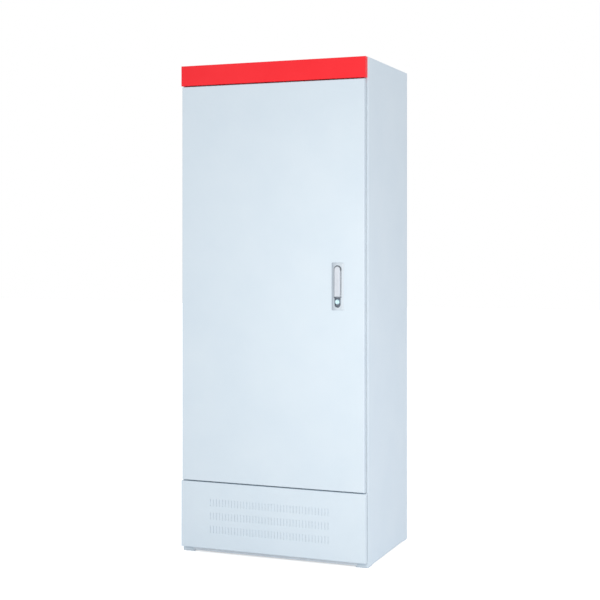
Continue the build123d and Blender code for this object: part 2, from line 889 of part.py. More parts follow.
def lever_pin():
    """Cross pin on which the lever lifts."""
    half = lever_width / 2 - face_clearance
    return rod_x(cross_pin_radius, (lock_x - half, lock_x + half), cross_pin_y, spindle_level)


def button_front():
    """Front face of the button at rest."""
    return bezel_front - button_proud


def collar_back():
    """Back face of the collar that keeps the button in its bore."""
    return bezel_back + face_clearance + sheet


def lock_button():
    """Chromed push button, with a collar, a stem for the spring and a seat for the key plug."""
    front = button_front()
    button = rod_y(button_radius, lock_x, (front, bezel_back + face_clearance), button_level)
    button = fillet(button.edges().sort_by(Axis.Y)[0], bezel_proud / 4)
    collar = (bezel_back + face_clearance, collar_back())
    button += rod_y(button_radius + sheet, lock_x, collar, button_level)
    stem_end = clamp_back - face_clearance
    button += rod_y(stem_radius, lock_x, (collar_back(), stem_end), button_level)
    seat = (front, front + plug_depth)
    return button - rod_y(plug_radius + running_clearance, lock_x, seat, button_level)


def key_plug():
    """Plug with its keyway, turned by the key."""
    front = button_front() - plug_proud
    plug = rod_y(plug_radius, lock_x, (front, button_front() + plug_depth), button_level)
    half = key_slot_width / 2
    z = (button_level - key_slot_length / 2, button_level + key_slot_length / 2)
    return plug - box((lock_x - half, lock_x + half), (front, front + plug_depth / 2), z)


def button_spring():
    """Coil between the button's collar and the clamp."""
    start = collar_back() + spring_wire
    length = clamp_front - spring_wire - start
    coil = Helix(pitch=spring_pitch, height=length, radius=spring_radius)
    wire = sweep(Plane(origin=coil @ 0, z_dir=coil % 0) * Circle(spring_wire), path=coil)
    return Pos(lock_x, start, button_level) * Rot(-90, 0, 0) * wire


def cam_pin_places():
    """Rest places of the two cam pins: upper right and lower left of the spindle."""
    return [
        (lock_x + cam_pin_side, spindle_level + cam_pin_side),
        (lock_x - cam_pin_side, spindle_level - cam_pin_side),
    ]


def rod_cam():
    """Two-armed cam on the spindle's square, with a headed pin for each rod."""
    long = 2 * (cam_pin_circle + cam_arm_radius)
    plane = Plane(origin=(lock_x, cam_back, spindle_level), x_dir=(1, 0, 0), z_dir=(0, -1, 0))
    cam = extrude(plane * SlotOverall(long, 2 * cam_arm_radius, rotation=45), cam_thickness)
    cam += rod_y(hub_radius, lock_x, (cam_front, cam_back), spindle_level)
    square = spindle_square / 2 + running_clearance
    x = (lock_x - square, lock_x + square)
    cam -= box(x, (cam_front, cam_back), (spindle_level - square, spindle_level + square))
    tip = rod_back + face_clearance
    for pin_x, pin_z in cam_pin_places():
        cam += rod_y(cam_pin_radius, pin_x, (cam_back, tip), pin_z)
        cam += rod_y(cam_head_radius, pin_x, (tip, tip + cam_head_height), pin_z)
    return cam


def cam_screw():
    """Screw head that holds the cam on its square."""
    head = (cam_back, cam_back + small_head_height)
    return rod_y(cam_screw_radius, lock_x, head, spindle_level)


def latch_rod(side):
    """Flat rod with a cross slot for its cam pin; side is 1 for the upper rod and -1 for the lower."""
    pin_level = spindle_level + side * cam_pin_side
    eye_end = pin_level - side * rod_eye_height / 2
    tip = opening_top - rod_frame_gap if side > 0 else opening_bottom + rod_frame_gap
    middle = lock_x + side * rod_offset
    y = (rod_front, rod_back)
    bar = box((middle - rod_width / 2, middle + rod_width / 2), y, sorted((eye_end, tip)))
    eye_z = (pin_level - rod_eye_height / 2, pin_level + rod_eye_height / 2)
    bar += box((middle - rod_eye_width / 2, middle + rod_eye_width / 2), y, eye_z)
    slot_tall = 2 * (cam_pin_radius + rod_slot_play)
    slot_wide = (cam_pin_circle - cam_pin_side) + slot_tall
    plane = Plane(origin=(middle, rod_back, pin_level), x_dir=(1, 0, 0), z_dir=(0, -1, 0))
    bar -= extrude(plane * SlotOverall(slot_wide, slot_tall), rod_thickness)
    tip_edges = bar.edges().filter_by(Axis.Y).sort_by(Axis.Z)
    ends = tip_edges[-2:] if side > 0 else tip_edges[:2]
    return chamfer(ends, rod_width / 4)


def rod_guide(side):
    """Staple welded inside the door that guides a rod."""
    middle = lock_x + side * rod_offset
    tip = opening_top - rod_guide_from_tip if side > 0 else opening_bottom + rod_guide_from_tip
    leg = rod_width / 2 + face_clearance + guide_sheet / 2
    near = skin_inner + guide_sheet / 2
    far = rod_back + face_clearance + guide_sheet / 2
    points = [
        (middle - leg - guide_foot, near),
        (middle - leg, near),
        (middle - leg, far),
        (middle + leg, far),
        (middle + leg, near),
        (middle + leg + guide_foot, near),
    ]
    return folded_z(points, (tip - guide_height / 2, tip + guide_height / 2), guide_sheet)


def all_parts():
    """Every node by name."""
    parts = {
        "left_side_panel": side_panel(-1),
        "right_side_panel": side_panel(1),
        "back_panel": back_panel(),
        "back_panel_screws": back_panel_screws(),
        "roof_panel": roof_panel(),
        "top_rail": top_rail(),
        "sill_rail": sill_rail(),
        "base_tray": base_tray(),
        "gland_plate": gland_plate(),
        "gland_plate_screws": gland_plate_screws(),
        "header_strip": header_strip(),
        "header_screws": header_screws(),
        "plinth_panel": plinth_panel(),
        "plinth_screws": plinth_screws(),
        "vent_filter": vent_filter(),
        "mounting_plate": mounting_plate(),
        "mounting_plate_screws": mounting_plate_screws(),
        "earth_bar": earth_bar(),
        "earth_bar_standoffs": earth_bar_standoffs(),
        "earth_bar_screws": earth_bar_screws(),
        "cable_rail": cable_rail(),
        "hinge_screws": hinge_screws(),
        "hinge_pins": hinge_pins(),
        "door_panel": door_panel(),
        "door_seal": door_seal(),
        "document_pocket": document_pocket(),
        "door_earth_stud": door_earth_stud(),
        "lock_bezel": lock_bezel(),
        "lock_clamp": lock_clamp(),
        "lock_clamp_screws": lock_clamp_screws(),
        "handle_spindle": handle_spindle(),
        "handle_lever": handle_lever(),
        "lever_pin": lever_pin(),
        "rod_cam": rod_cam(),
        "cam_screw": cam_screw(),
        "lock_button": lock_button(),
        "key_plug": key_plug(),
        "button_spring": button_spring(),
    }
    for place, (x, y) in zip(("front_left", "front_right", "back_left", "back_right"), anchor_points()):
        parts[f"foot_plate_{place}"] = foot_plate(x, y)
        parts[f"post_{place}"] = post(1 if x > 0 else -1, y < 0)
    for place, level in zip(("lower", "upper"), beam_levels()):
        parts[f"cross_beam_{place}"] = cross_beam(level)
    for place, level in zip(("bottom", "middle", "top"), hinge_levels()):
        parts[f"hinge_bracket_{place}"] = hinge_bracket(level)
        parts[f"hinge_leaf_{place}"] = hinge_leaf(level)
    for place, middle in (("left", stiffener_left), ("right", stiffener_right)):
        parts[f"door_stiffener_{place}"] = door_stiffener(middle)
    for place, side in (("upper", 1), ("lower", -1)):
        parts[f"{place}_rod"] = latch_rod(side)
        parts[f"{place}_rod_guide"] = rod_guide(side)
    return parts


os.makedirs("parts", exist_ok=True)
for name, shape in all_parts().items():
    export_step(shape, f"parts/{name}.step")
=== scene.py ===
"""Looks of a floor-standing electrical distribution cabinet, dressed over its fixed frame.

Units are metres. X runs to the right, Y to the back and Z up, with the origin on the floor under the
middle of the body. Sizes of new pieces are worked out from the frame's own nodes.
"""

import logging
import math
from dataclasses import dataclass, field
from enum import Enum
from typing import Iterable, Optional, Sequence

import bmesh
import bpy
from mathutils import Matrix, Vector


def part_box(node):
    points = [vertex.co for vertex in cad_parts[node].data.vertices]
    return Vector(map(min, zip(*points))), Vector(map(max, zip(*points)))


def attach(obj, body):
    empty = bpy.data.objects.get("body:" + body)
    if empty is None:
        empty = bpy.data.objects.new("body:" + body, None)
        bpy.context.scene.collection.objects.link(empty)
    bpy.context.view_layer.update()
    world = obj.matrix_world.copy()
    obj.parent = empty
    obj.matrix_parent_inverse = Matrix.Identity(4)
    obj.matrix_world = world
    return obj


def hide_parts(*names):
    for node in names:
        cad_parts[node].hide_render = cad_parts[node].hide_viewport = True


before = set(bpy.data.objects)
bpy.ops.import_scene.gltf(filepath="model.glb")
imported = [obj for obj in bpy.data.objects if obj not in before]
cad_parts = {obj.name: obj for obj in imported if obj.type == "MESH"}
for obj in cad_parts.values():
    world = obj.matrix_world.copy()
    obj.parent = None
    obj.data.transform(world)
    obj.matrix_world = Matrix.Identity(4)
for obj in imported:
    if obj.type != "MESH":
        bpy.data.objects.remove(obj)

log = logging.getLogger("cabinet")
MM = 0.001
FRONT = Vector((0, -1, 0))
BACK = Vector((0, 1, 0))

# Vertices nearer than this are one
WELD = 0.001 * MM

# Points whose levels differ by less than this lie in one plane
SAME_LEVEL = 0.01 * MM

# Faces that meet at less than this are shaded as one surface
SMOOTH_ANGLE = math.radians(32)

# A face lies flat where its unit normal has more than this along the axis
FLAT = 0.9

# Most values of a noise lie between these two
NOISE_LOW = 0.3
NOISE_HIGH = 0.7

# Numbers of the Mix node's colour sockets, whose names are those of its other sockets too
MIX_FIRST = 6
MIX_SECOND = 7
MIX_RESULT = 2


class Body(Enum):
    """Bodies of the frame that new pieces ride on."""

    CABINET = "cabinet_shell"
    DOOR = "door_leaf"


class Slot(Enum):
    """Material slots of the record."""

    ZINC = "zinc_plated_steel"
    BRASS = "earth_brass"
    SEAL = "black_foam_rubber"
    MAT = "white_filter_mat"


class Drive(Enum):
    """Shape of the recess in a screw's head, by its number of straight slots."""

    SLOT = 1
    CROSS = 2


def linear(hex_colour: str) -> tuple[float, float, float, float]:
    """Turns an sRGB hex colour into linear values with full alpha, by the sRGB standard's curve.

    Args:
        hex_colour: Colour such as "#D9E4EE".

    Returns:
        Red, green, blue and alpha for a node socket.
    """
    parts = [int(hex_colour[i:i + 2], 16) / 255 for i in (1, 3, 5)]
    values = [p / 12.92 if p <= 0.04045 else ((p + 0.055) / 1.055) ** 2.4 for p in parts]
    return (values[0], values[1], values[2], 1.0)


def add_node(
    tree: bpy.types.NodeTree,
    kind: str,
    settings: Optional[dict[str, object]] = None,
    inputs: Optional[dict[object, object]] = None,
    links: Optional[dict[object, bpy.types.NodeSocket]] = None,
) -> bpy.types.Node:
    """Adds one node with its settings, socket values and incoming links.

    Args:
        tree: Node tree that takes the node.
        kind: Blender's name of the node type.
        settings: Attributes set on the node itself.
        inputs: Values of its input sockets, by name or number.
        links: Sockets linked into its inputs, by name or number.

    Returns:
        The new node.
    """
    node = tree.nodes.new(kind)
    for name, value in (settings or {}).items():
        setattr(node, name, value)
    for key, value in (inputs or {}).items():
        node.inputs[key].default_value = value
    for key, socket in (links or {}).items():
        tree.links.new(socket, node.inputs[key])
    return node


def new_material(name: str) -> tuple[bpy.types.Material, bpy.types.NodeTree]:
    """Makes an empty node material.

    Args:
        name: Name of the finish.

    Returns:
        The material and its node tree.
    """
    material = bpy.data.materials.new(name)
    material.use_nodes = True
    material.node_tree.nodes.clear()
    return material, material.node_tree


def mottled_colour(
    tree: bpy.types.NodeTree,
    where: bpy.types.NodeSocket,
    dark: str,
    light: str,
    patch: float,
) -> bpy.types.NodeSocket:
    """Colour that drifts between two close tones.

    Args:
        tree: Node tree of the material.
        where: Coordinates of the pattern, in metres.
        dark: Darker tone as hex.
        light: Lighter tone as hex.
        patch: Size of a patch in metres.

    Returns:
        Colour socket.
    """
    noise = add_node(
        tree,
        "ShaderNodeTexNoise",
        inputs={"Scale": 1 / patch, "Detail": 3.0, "Roughness": 0.55},
        links={"Vector": where},
    )
    ramp = add_node(tree, "ShaderNodeValToRGB", links={"Fac": noise.outputs["Fac"]})
    ends = ramp.color_ramp.elements
    for end, position, tone in zip(ends, (NOISE_LOW, NOISE_HIGH), (dark, light)):
        end.position = position
        end.color = linear(tone)
    return ramp.outputs["Color"]


def streaks(
    tree: bpy.types.NodeTree,
    where: bpy.types.NodeSocket,
    stretch: tuple[float, float, float],
    noise: dict[str, float],
) -> bpy.types.NodeSocket:
    """Noise drawn out along one axis, for wiping marks, tool marks and fibres.

    Args:
        tree: Node tree of the material.
        where: Coordinates of the pattern, in metres.
        stretch: Scale along X, Y and Z, which is below 1 where the streaks run.
        noise: Values of the noise's own sockets.

    Returns:
        Value socket.
    """
    drawn = add_node(tree, "ShaderNodeMapping", inputs={"Scale": stretch}, links={"Vector": where})
    marks = add_node(tree, "ShaderNodeTexNoise", inputs=noise, links={"Vector": drawn.outputs["Vector"]})
    return marks.outputs["Fac"]


def close_material(
    tree: bpy.types.NodeTree,
    colour: bpy.types.NodeSocket,
    relief: bpy.types.NodeSocket,
    bump: dict[str, float],
    shader: dict[str, float],
    gloss: Optional[tuple[float, float]] = None,
    links: Optional[dict[str, bpy.types.NodeSocket]] = None,
) -> None:
    """Ends a material's tree with what its fine relief gives, its shader and its output.

    Args:
        tree: Node tree of the material.
        colour: Colour of the surface.
        relief: Height of its fine pattern.
        bump: Values of the bump's own sockets.
        shader: Values of the shader's own sockets.
        gloss: Roughness in the hollows and on the ridges of a noise, where they differ.
        links: Further sockets that are linked into the shader.
    """
    raised = add_node(tree, "ShaderNodeBump", inputs=bump, links={"Height": relief})
    links = {"Base Color": colour, "Normal": raised.outputs["Normal"], **(links or {})}
    if gloss is not None:
        hollow, ridge = gloss
        band = add_node(
            tree,
            "ShaderNodeMapRange",
            inputs={"From Min": NOISE_LOW, "From Max": NOISE_HIGH, "To Min": hollow, "To Max": ridge},
            links={"Value": relief},
        )
        links["Roughness"] = band.outputs["Result"]
    shaded = add_node(tree, "ShaderNodeBsdfPrincipled", inputs=shader, links=links)
    add_node(tree, "ShaderNodeOutputMaterial", links={"Surface": shaded.outputs["BSDF"]})


@dataclass(frozen=True)
class PowderCoat:
    """Epoxy-polyester powder coat baked on steel sheet.

    It gives an even satin colour with a soft sheen and the faint ripple called orange peel, whose
    waves are 2 to 3 mm across; the colour drifts by a tone over a hand's breadth.

    Attributes:
        name: Name of the finish.
        tone: Darker tone.
        tone_light: Lighter tone.
        peel_size: Size of a wave of the ripple.
        peel_height: Height of a wave.
        patch: Size of a patch of one tone.
        roughness: Roughness between crest and valley.
        sheen: Level of the mirrored light.
        smoother: How far the roughness falls in the valleys.
        rougher: How far it rises on the crests.
    """

    name: str
    tone: str
    tone_light: str
    peel_size: float = 2.6 * MM
    peel_height: float = 0.010 * MM
    patch: float = 160 * MM
    roughness: float = 0.46
    sheen: float = 0.28
    smoother: float = 0.04
    rougher: float = 0.05

    def build(self) -> bpy.types.Material:
        """Builds the material.

        Returns:
            The material.
        """
        material, tree = new_material(self.name)
        where = add_node(tree, "ShaderNodeTexCoord").outputs["Object"]
        peel = add_node(
            tree,
            "ShaderNodeTexNoise",
            inputs={"Scale": 1 / self.peel_size, "Detail": 2.0},
            links={"Vector": where},
        ).outputs["Fac"]
        close_material(
            tree,
            mottled_colour(tree, where, self.tone, self.tone_light, self.patch),
            peel,
            bump={"Strength": 0.6, "Distance": self.peel_height},
            shader={"IOR": 1.5, "Specular IOR Level": self.sheen},
            gloss=(self.roughness - self.smoother, self.roughness + self.rougher),
        )
        return material


@dataclass(frozen=True)
class ZincPlate:
    """Bright zinc plating on small steel parts.

    It gives a cool satin metal with a thin bluish to straw tint in patches and fine wiping marks.

    Attributes:
        name: Name of the finish.
        tone: Darker, bluish tone.
        tone_light: Lighter, straw tone.
        patch: Size of a patch of one tint.
        mark_size: Width of a wiping mark.
        mark_height: Height of a mark.
        roughness: Roughness between ridge and hollow of a mark.
        smoother: How far it falls in the hollow.
        rougher: How far it rises on the ridge.
    """

    name: str = "bright_zinc_plated_steel"
    tone: str = "#9DA4AB"
    tone_light: str = "#B7BAB8"
    patch: float = 14 * MM
    mark_size: float = 0.9 * MM
    mark_height: float = 0.01 * MM
    roughness: float = 0.34
    smoother: float = 0.08
    rougher: float = 0.10

    def build(self) -> bpy.types.Material:
        """Builds the material.

        Returns:
            The material.
        """
        material, tree = new_material(self.name)
        where = add_node(tree, "ShaderNodeTexCoord").outputs["Object"]
        marks = streaks(tree, where, (1.0, 1.0, 0.12), {"Scale": 1 / self.mark_size, "Detail": 3.0})
        close_material(
            tree,
            mottled_colour(tree, where, self.tone, self.tone_light, self.patch),
            marks,
            bump={"Strength": 0.35, "Distance": self.mark_height},
            shader={"Metallic": 1.0},
            gloss=(self.roughness - self.smoother, self.roughness + self.rougher),
        )
        return material


@dataclass(frozen=True)
class HotDipGalvanising:
    """Hot-dip galvanised sheet.

    It gives a grey metal broken into flat crystals, the spangle, each about 9 mm across and each with
    its own tone and gloss.

    Attributes:
        name: Name of the finish.
        tone: Darkest crystal.
        tone_light: Lightest crystal.
        spangle: Size of a crystal.
        step: Height between crystals.
        smoothest: Roughness of the smoothest crystal.
        roughest: Roughness of the roughest one.
    """

    name: str = "galvanised_sheet_with_spangle"
    tone: str = "#ACB2B7"
    tone_light: str = "#BFC4C8"
    spangle: float = 9 * MM
    step: float = 0.01 * MM
    smoothest: float = 0.32
    roughest: float = 0.5

    def build(self) -> bpy.types.Material:
        """Builds the material.

        Returns:
            The material.
        """
        material, tree = new_material(self.name)
        where = add_node(tree, "ShaderNodeTexCoord").outputs["Object"]
        cells = add_node(
            tree,
            "ShaderNodeTexVoronoi",
            inputs={"Scale": 1 / self.spangle, "Randomness": 1.0},
            links={"Vector": where},
        )
        grey = add_node(tree, "ShaderNodeSeparateColor", links={"Color": cells.outputs["Color"]})
        ramp = add_node(tree, "ShaderNodeValToRGB", links={"Fac": grey.outputs["Red"]})
        ramp.color_ramp.elements[0].color = linear(self.tone)
        ramp.color_ramp.elements[1].color = linear(self.tone_light)
        gloss = add_node(
            tree,
            "ShaderNodeMapRange",
            inputs={"To Min": self.smoothest, "To Max": self.roughest},
            links={"Value": grey.outputs["Green"]},
        )
        close_material(
            tree,
            ramp.outputs["Color"],
            grey.outputs["Blue"],
            bump={"Strength": 0.3, "Distance": self.step},
            shader={"Metallic": 1.0},
            links={"Roughness": gloss.outputs["Result"]},
        )
        return material


@dataclass(frozen=True)
class TurnedMetal:
    """Turned or drawn metal with fine tool marks.

    It gives a clear metal colour with a broken, slightly stretched highlight.

    Attributes:
        name: Name of the finish.
        tone: Darker tone.
        tone_light: Lighter tone.
        mark_size: Width of a tool mark.
        mark_height: Height of a mark.
        roughness: Roughness between ridge and hollow of a mark.
        patch: Size of a patch of one tone.
        smoother: Share of the roughness that the hollow has.
        rougher: Share of it that the ridge has.
    """

    name: str
    tone: str
    tone_light: str
    mark_size: float = 0.5 * MM
    mark_height: float = 0.006 * MM
    roughness: float = 0.22
    patch: float = 9 * MM
    smoother: float = 0.8
    rougher: float = 1.3

    def build(self) -> bpy.types.Material:
        """Builds the material.

        Returns:
            The material.
        """
        material, tree = new_material(self.name)
        where = add_node(tree, "ShaderNodeTexCoord").outputs["Object"]
        marks = streaks(tree, where, (0.2, 1.0, 1.0), {"Scale": 1 / self.mark_size, "Detail": 2.0})
        close_material(
            tree,
            mottled_colour(tree, where, self.tone, self.tone_light, self.patch),
            marks,
            bump={"Strength": 0.3, "Distance": self.mark_height},
            shader={"Metallic": 1.0},
            gloss=(self.roughness * self.smoother, self.roughness * self.rougher),
        )
        return material


@dataclass(frozen=True)
class CellFoam:
    """Foamed-in-place polyurethane seal.

    It gives a matt near-black skin full of fine open cells, each about half a millimetre, drawn at
    0.8 mm so that they show.

    Attributes:
        name: Name of the finish.
        tone: Darker tone.
        tone_light: Lighter tone.
        patch: Size of a patch of one tone.
        cell: Size of a cell.
        cell_depth: Depth of a cell.
    """

    name: str = "polyurethane_foam_seal"
    tone: str = "#26282B"
    tone_light: str = "#34373B"
    patch: float = 5 * MM
    cell: float = 0.8 * MM
    cell_depth: float = 0.12 * MM

    def build(self) -> bpy.types.Material:
        """Builds the material.

        Returns:
            The material.
        """
        material, tree = new_material(self.name)
        where = add_node(tree, "ShaderNodeTexCoord").outputs["Object"]
        cells = add_node(
            tree, "ShaderNodeTexVoronoi", inputs={"Scale": 1 / self.cell}, links={"Vector": where}
        )
        close_material(
            tree,
            mottled_colour(tree, where, self.tone, self.tone_light, self.patch),
            cells.outputs["Distance"],
            bump={"Strength": 0.8, "Distance": self.cell_depth},
            shader={"Roughness": 0.88, "IOR": 1.45},
        )
        return material


@dataclass(frozen=True)
class FibreMat:
    """Non-woven polyester filter mat.

    It gives a pale, soft surface of crossed fibres; the fibres are drawn 0.4 mm thick, coarser than
    the real ones, so that they show.

    Attributes:
        name: Name of the finish.
        tone: Darker tone.
        tone_light: Lighter tone.
        patch: Size of a patch of one tone.
        fibre: Thickness of a fibre.
        fibre_height: How far a fibre stands out.
    """

    name: str = "polyester_filter_mat"
    tone: str = "#CAD6E1"
    tone_light: str = "#DBE5ED"
    patch: float = 7 * MM
    fibre: float = 0.4 * MM
    fibre_height: float = 0.3 * MM

    def build(self) -> bpy.types.Material:
        """Builds the material.

        Returns:
            The material.
        """
        material, tree = new_material(self.name)
        where = add_node(tree, "ShaderNodeTexCoord").outputs["Object"]
        tangle = {"Scale": 1 / self.fibre, "Detail": 4.0, "Distortion": 1.4}
        close_material(
            tree,
            mottled_colour(tree, where, self.tone, self.tone_light, self.patch),
            streaks(tree, where, (0.15, 1.0, 1.0), tangle),
            bump={"Strength": 0.9, "Distance": self.fibre_height},
            shader={"Roughness": 0.95, "Sheen Weight": 0.25},
        )
        return material


@dataclass(frozen=True)
class MouldedPlastic:
    """Injection-moulded polystyrene with a spark-eroded texture.

    It gives an even matt grey with a fine grain about 0.6 mm across.

    Attributes:
        name: Name of the finish.
        tone: Darker tone.
        tone_light: Lighter tone.
        patch: Size of a patch of one tone.
        grain: Size of a grain.
        grain_height: Height of a grain.
    """

    name: str = "moulded_polystyrene_pocket"
    tone: str = "#BCC1C6"
    tone_light: str = "#C8CCD0"
    patch: float = 60 * MM
    grain: float = 0.6 * MM
    grain_height: float = 0.02 * MM

    def build(self) -> bpy.types.Material:
        """Builds the material.

        Returns:
            The material.
        """
        material, tree = new_material(self.name)
        where = add_node(tree, "ShaderNodeTexCoord").outputs["Object"]
        grain = add_node(
            tree,
            "ShaderNodeTexNoise",
            inputs={"Scale": 1 / self.grain, "Detail": 2.0},
            links={"Vector": where},
        )
        close_material(
            tree,
            mottled_colour(tree, where, self.tone, self.tone_light, self.patch),
            grain.outputs["Fac"],
            bump={"Strength": 0.5, "Distance": self.grain_height},
            shader={"Roughness": 0.58, "IOR": 1.59},
        )
        return material


@dataclass(frozen=True)
class LockCasting:
    """Lacquered zinc casting of the lock's body.

    The plate has a light grey spray coat with a fine satin grain. Towards its hinge side its colour
    darkens as painted shade, for the side of its bevel that faces away from the light. In the tub the colour
    is painted shade round the button and under the lever's hub, and painted light, paler than the plate,
    along the tub's middle.

    Attributes:
        centre_x: Middle of the lock across the door.
        top: Level of the middle of the mouth's upper arc.
        bottom: Level of the middle of the well's lower arc.
        shoulder: Level at which the wide mouth narrows to the well.
        mouth_half: Half the width of the mouth.
        well_half: Half the width of the well.
        name: Name of the finish.
        plate: Darker tone of the plate.
        plate_light: Lighter tone of the plate.
        painted_shade: Darker tone of the painted shade on the plate's hinge side.
        painted_shade_light: Lighter tone of the painted shade on the plate's hinge side.
        tub_painted_light: Tone of the painted light along the tub's middle, paler than the plate.
        well: Tone of the painted shade round the button.
        hub: Tone of the painted shade under the lever's hub.
        patch: Size of a patch of one tone.
        grain: Size of a grain.
        grain_height: Height of a grain.
        tub_shade_edge: Width over which the tub's painted light and shade meet the plate's tone.
        fade: Length over which the painted shade fades across the plate, and over which the tub's painted
            light gives way to its painted shade.
    """

    centre_x: float
    top: float
    bottom: float
    shoulder: float
    mouth_half: float
    well_half: float
    name: str = "grey_lacquered_lock_casting_with_painted_light_and_shade"
    plate: str = "#C3CFDA"
    plate_light: str = "#CAD5DF"
    painted_shade: str = "#A3AFBC"
    painted_shade_light: str = "#ABB7C3"
    tub_painted_light: str = "#E2E9F0"
    well: str = "#7C8796"
    hub: str = "#8A96A6"
    patch: float = 20 * MM
    grain: float = 1.2 * MM
    grain_height: float = 0.012 * MM
    tub_shade_edge: float = 0.4 * MM
    fade: float = 4.0 * MM

    def build(self) -> bpy.types.Material:
        """Builds the material.

        Returns:
            The material.
        """
        material, tree = new_material(self.name)
        where = add_node(tree, "ShaderNodeTexCoord").outputs["Object"]
        axes = add_node(tree, "ShaderNodeSeparateXYZ", links={"Vector": where})
        # Painted shade: the plate's colour darkens towards its hinge side, where its bevel faces away from
        # the light.
        shade_across = add_node(
            tree,
            "ShaderNodeMapRange",
            inputs={"From Min": self.centre_x - self.mouth_half - self.fade, "From Max": self.centre_x},
            links={"Value": axes.outputs["X"]},
        )
        plate = add_node(
            tree,
            "ShaderNodeMix",
            settings={"data_type": "RGBA"},
            links={
                "Factor": shade_across.outputs["Result"],
                MIX_FIRST: mottled_colour(tree, where, self.painted_shade, self.painted_shade_light, self.patch),
                MIX_SECOND: mottled_colour(tree, where, self.plate, self.plate_light, self.patch),
            },
        )
        # Inside the tub the colour is painted shade round the button and under the hub, with painted light
        # between.
        colour = add_node(
            tree,
            "ShaderNodeMix",
            settings={"data_type": "RGBA"},
            links={
                "Factor": self.inside(tree, axes),
                MIX_FIRST: plate.outputs[MIX_RESULT],
                MIX_SECOND: self.tub_light_and_shade(tree, axes),
            },
        )
        grain = add_node(
            tree,
            "ShaderNodeTexNoise",
            inputs={"Scale": 1 / self.grain, "Detail": 2.0},
            links={"Vector": where},
        )
        close_material(
            tree,
            colour.outputs[MIX_RESULT],
            grain.outputs["Fac"],
            bump={"Strength": 0.6, "Distance": self.grain_height},
            shader={"Roughness": 0.38, "IOR": 1.5},
        )
        return material

    def tub_light_and_shade(self, tree: bpy.types.NodeTree, axes: bpy.types.Node) -> bpy.types.NodeSocket:
        """Colour of the tub along its height: painted shade in the well, painted light along the middle,
        painted shade under the hub.

        Args:
            tree: Node tree of the material.
            axes: Node with the separate object coordinates.

        Returns:
            Colour socket.
        """
        low = self.bottom - self.well_half
        high = self.top + self.mouth_half
        along = add_node(
            tree,
            "ShaderNodeMapRange",
            inputs={"From Min": low, "From Max": high},
            links={"Value": axes.outputs["Z"]},
        )
        ramp = add_node(tree, "ShaderNodeValToRGB", links={"Fac": along.outputs["Result"]})
        stops = ramp.color_ramp.elements
        stops[0].position = (self.shoulder - low) / (high - low)
        stops[0].color = linear(self.well)
        stops[1].position = 1.0
        stops[1].color = linear(self.hub)
        # Painted light along the tub's middle, between the painted shade of the well and that under the hub.
        for level in (self.shoulder + self.fade, high - 2 * self.fade):
            stops.new((level - low) / (high - low)).color = linear(self.tub_painted_light)
        return ramp.outputs["Color"]

    def inside(self, tree: bpy.types.NodeTree, axes: bpy.types.Node) -> bpy.types.NodeSocket:
        """Gives 1 inside the tub's outline, where its painted light and shade go, and 0 outside it, seen
        along Y.

        Args:
            tree: Node tree of the material.
            axes: Node with the separate object coordinates.

        Returns:
            Value socket.
        """
        less = {"operation": "SUBTRACT"}
        larger = {"operation": "MAXIMUM"}
        level = axes.outputs["Z"]
        across = add_node(tree, "ShaderNodeMath", less, {1: self.centre_x}, {0: axes.outputs["X"]})
        over = add_node(tree, "ShaderNodeMath", less, {1: self.top}, {0: level})
        under = add_node(tree, "ShaderNodeMath", less, {0: self.bottom}, {1: level})
        beyond = add_node(
            tree,
            "ShaderNodeMath",
            larger,
            links={0: over.outputs["Value"], 1: under.outputs["Value"]},
        )
        past = add_node(tree, "ShaderNodeMath", larger, {1: 0.0}, {0: beyond.outputs["Value"]})
        flat = add_node(
            tree,
            "ShaderNodeCombineXYZ",
            links={"X": across.outputs["Value"], "Z": past.outputs["Value"]},
        )
        reach = add_node(
            tree, "ShaderNodeVectorMath", {"operation": "LENGTH"}, links={0: flat.outputs["Vector"]}
        )
        half = add_node(
            tree,
            "ShaderNodeMapRange",
            inputs={
                "From Min": self.shoulder - SAME_LEVEL,
                "From Max": self.shoulder,
                "To Min": self.well_half,
                "To Max": self.mouth_half,
            },
            links={"Value": level},
        )
        spare = add_node(
            tree,
            "ShaderNodeMath",
            less,
            links={0: half.outputs["Result"], 1: reach.outputs["Value"]},
        )
        mask = add_node(
            tree,
            "ShaderNodeMapRange",
            inputs={"From Min": -self.tub_shade_edge, "From Max": 0.0},
            links={"Value": spare.outputs["Value"]},
        )
        return mask.outputs["Result"]


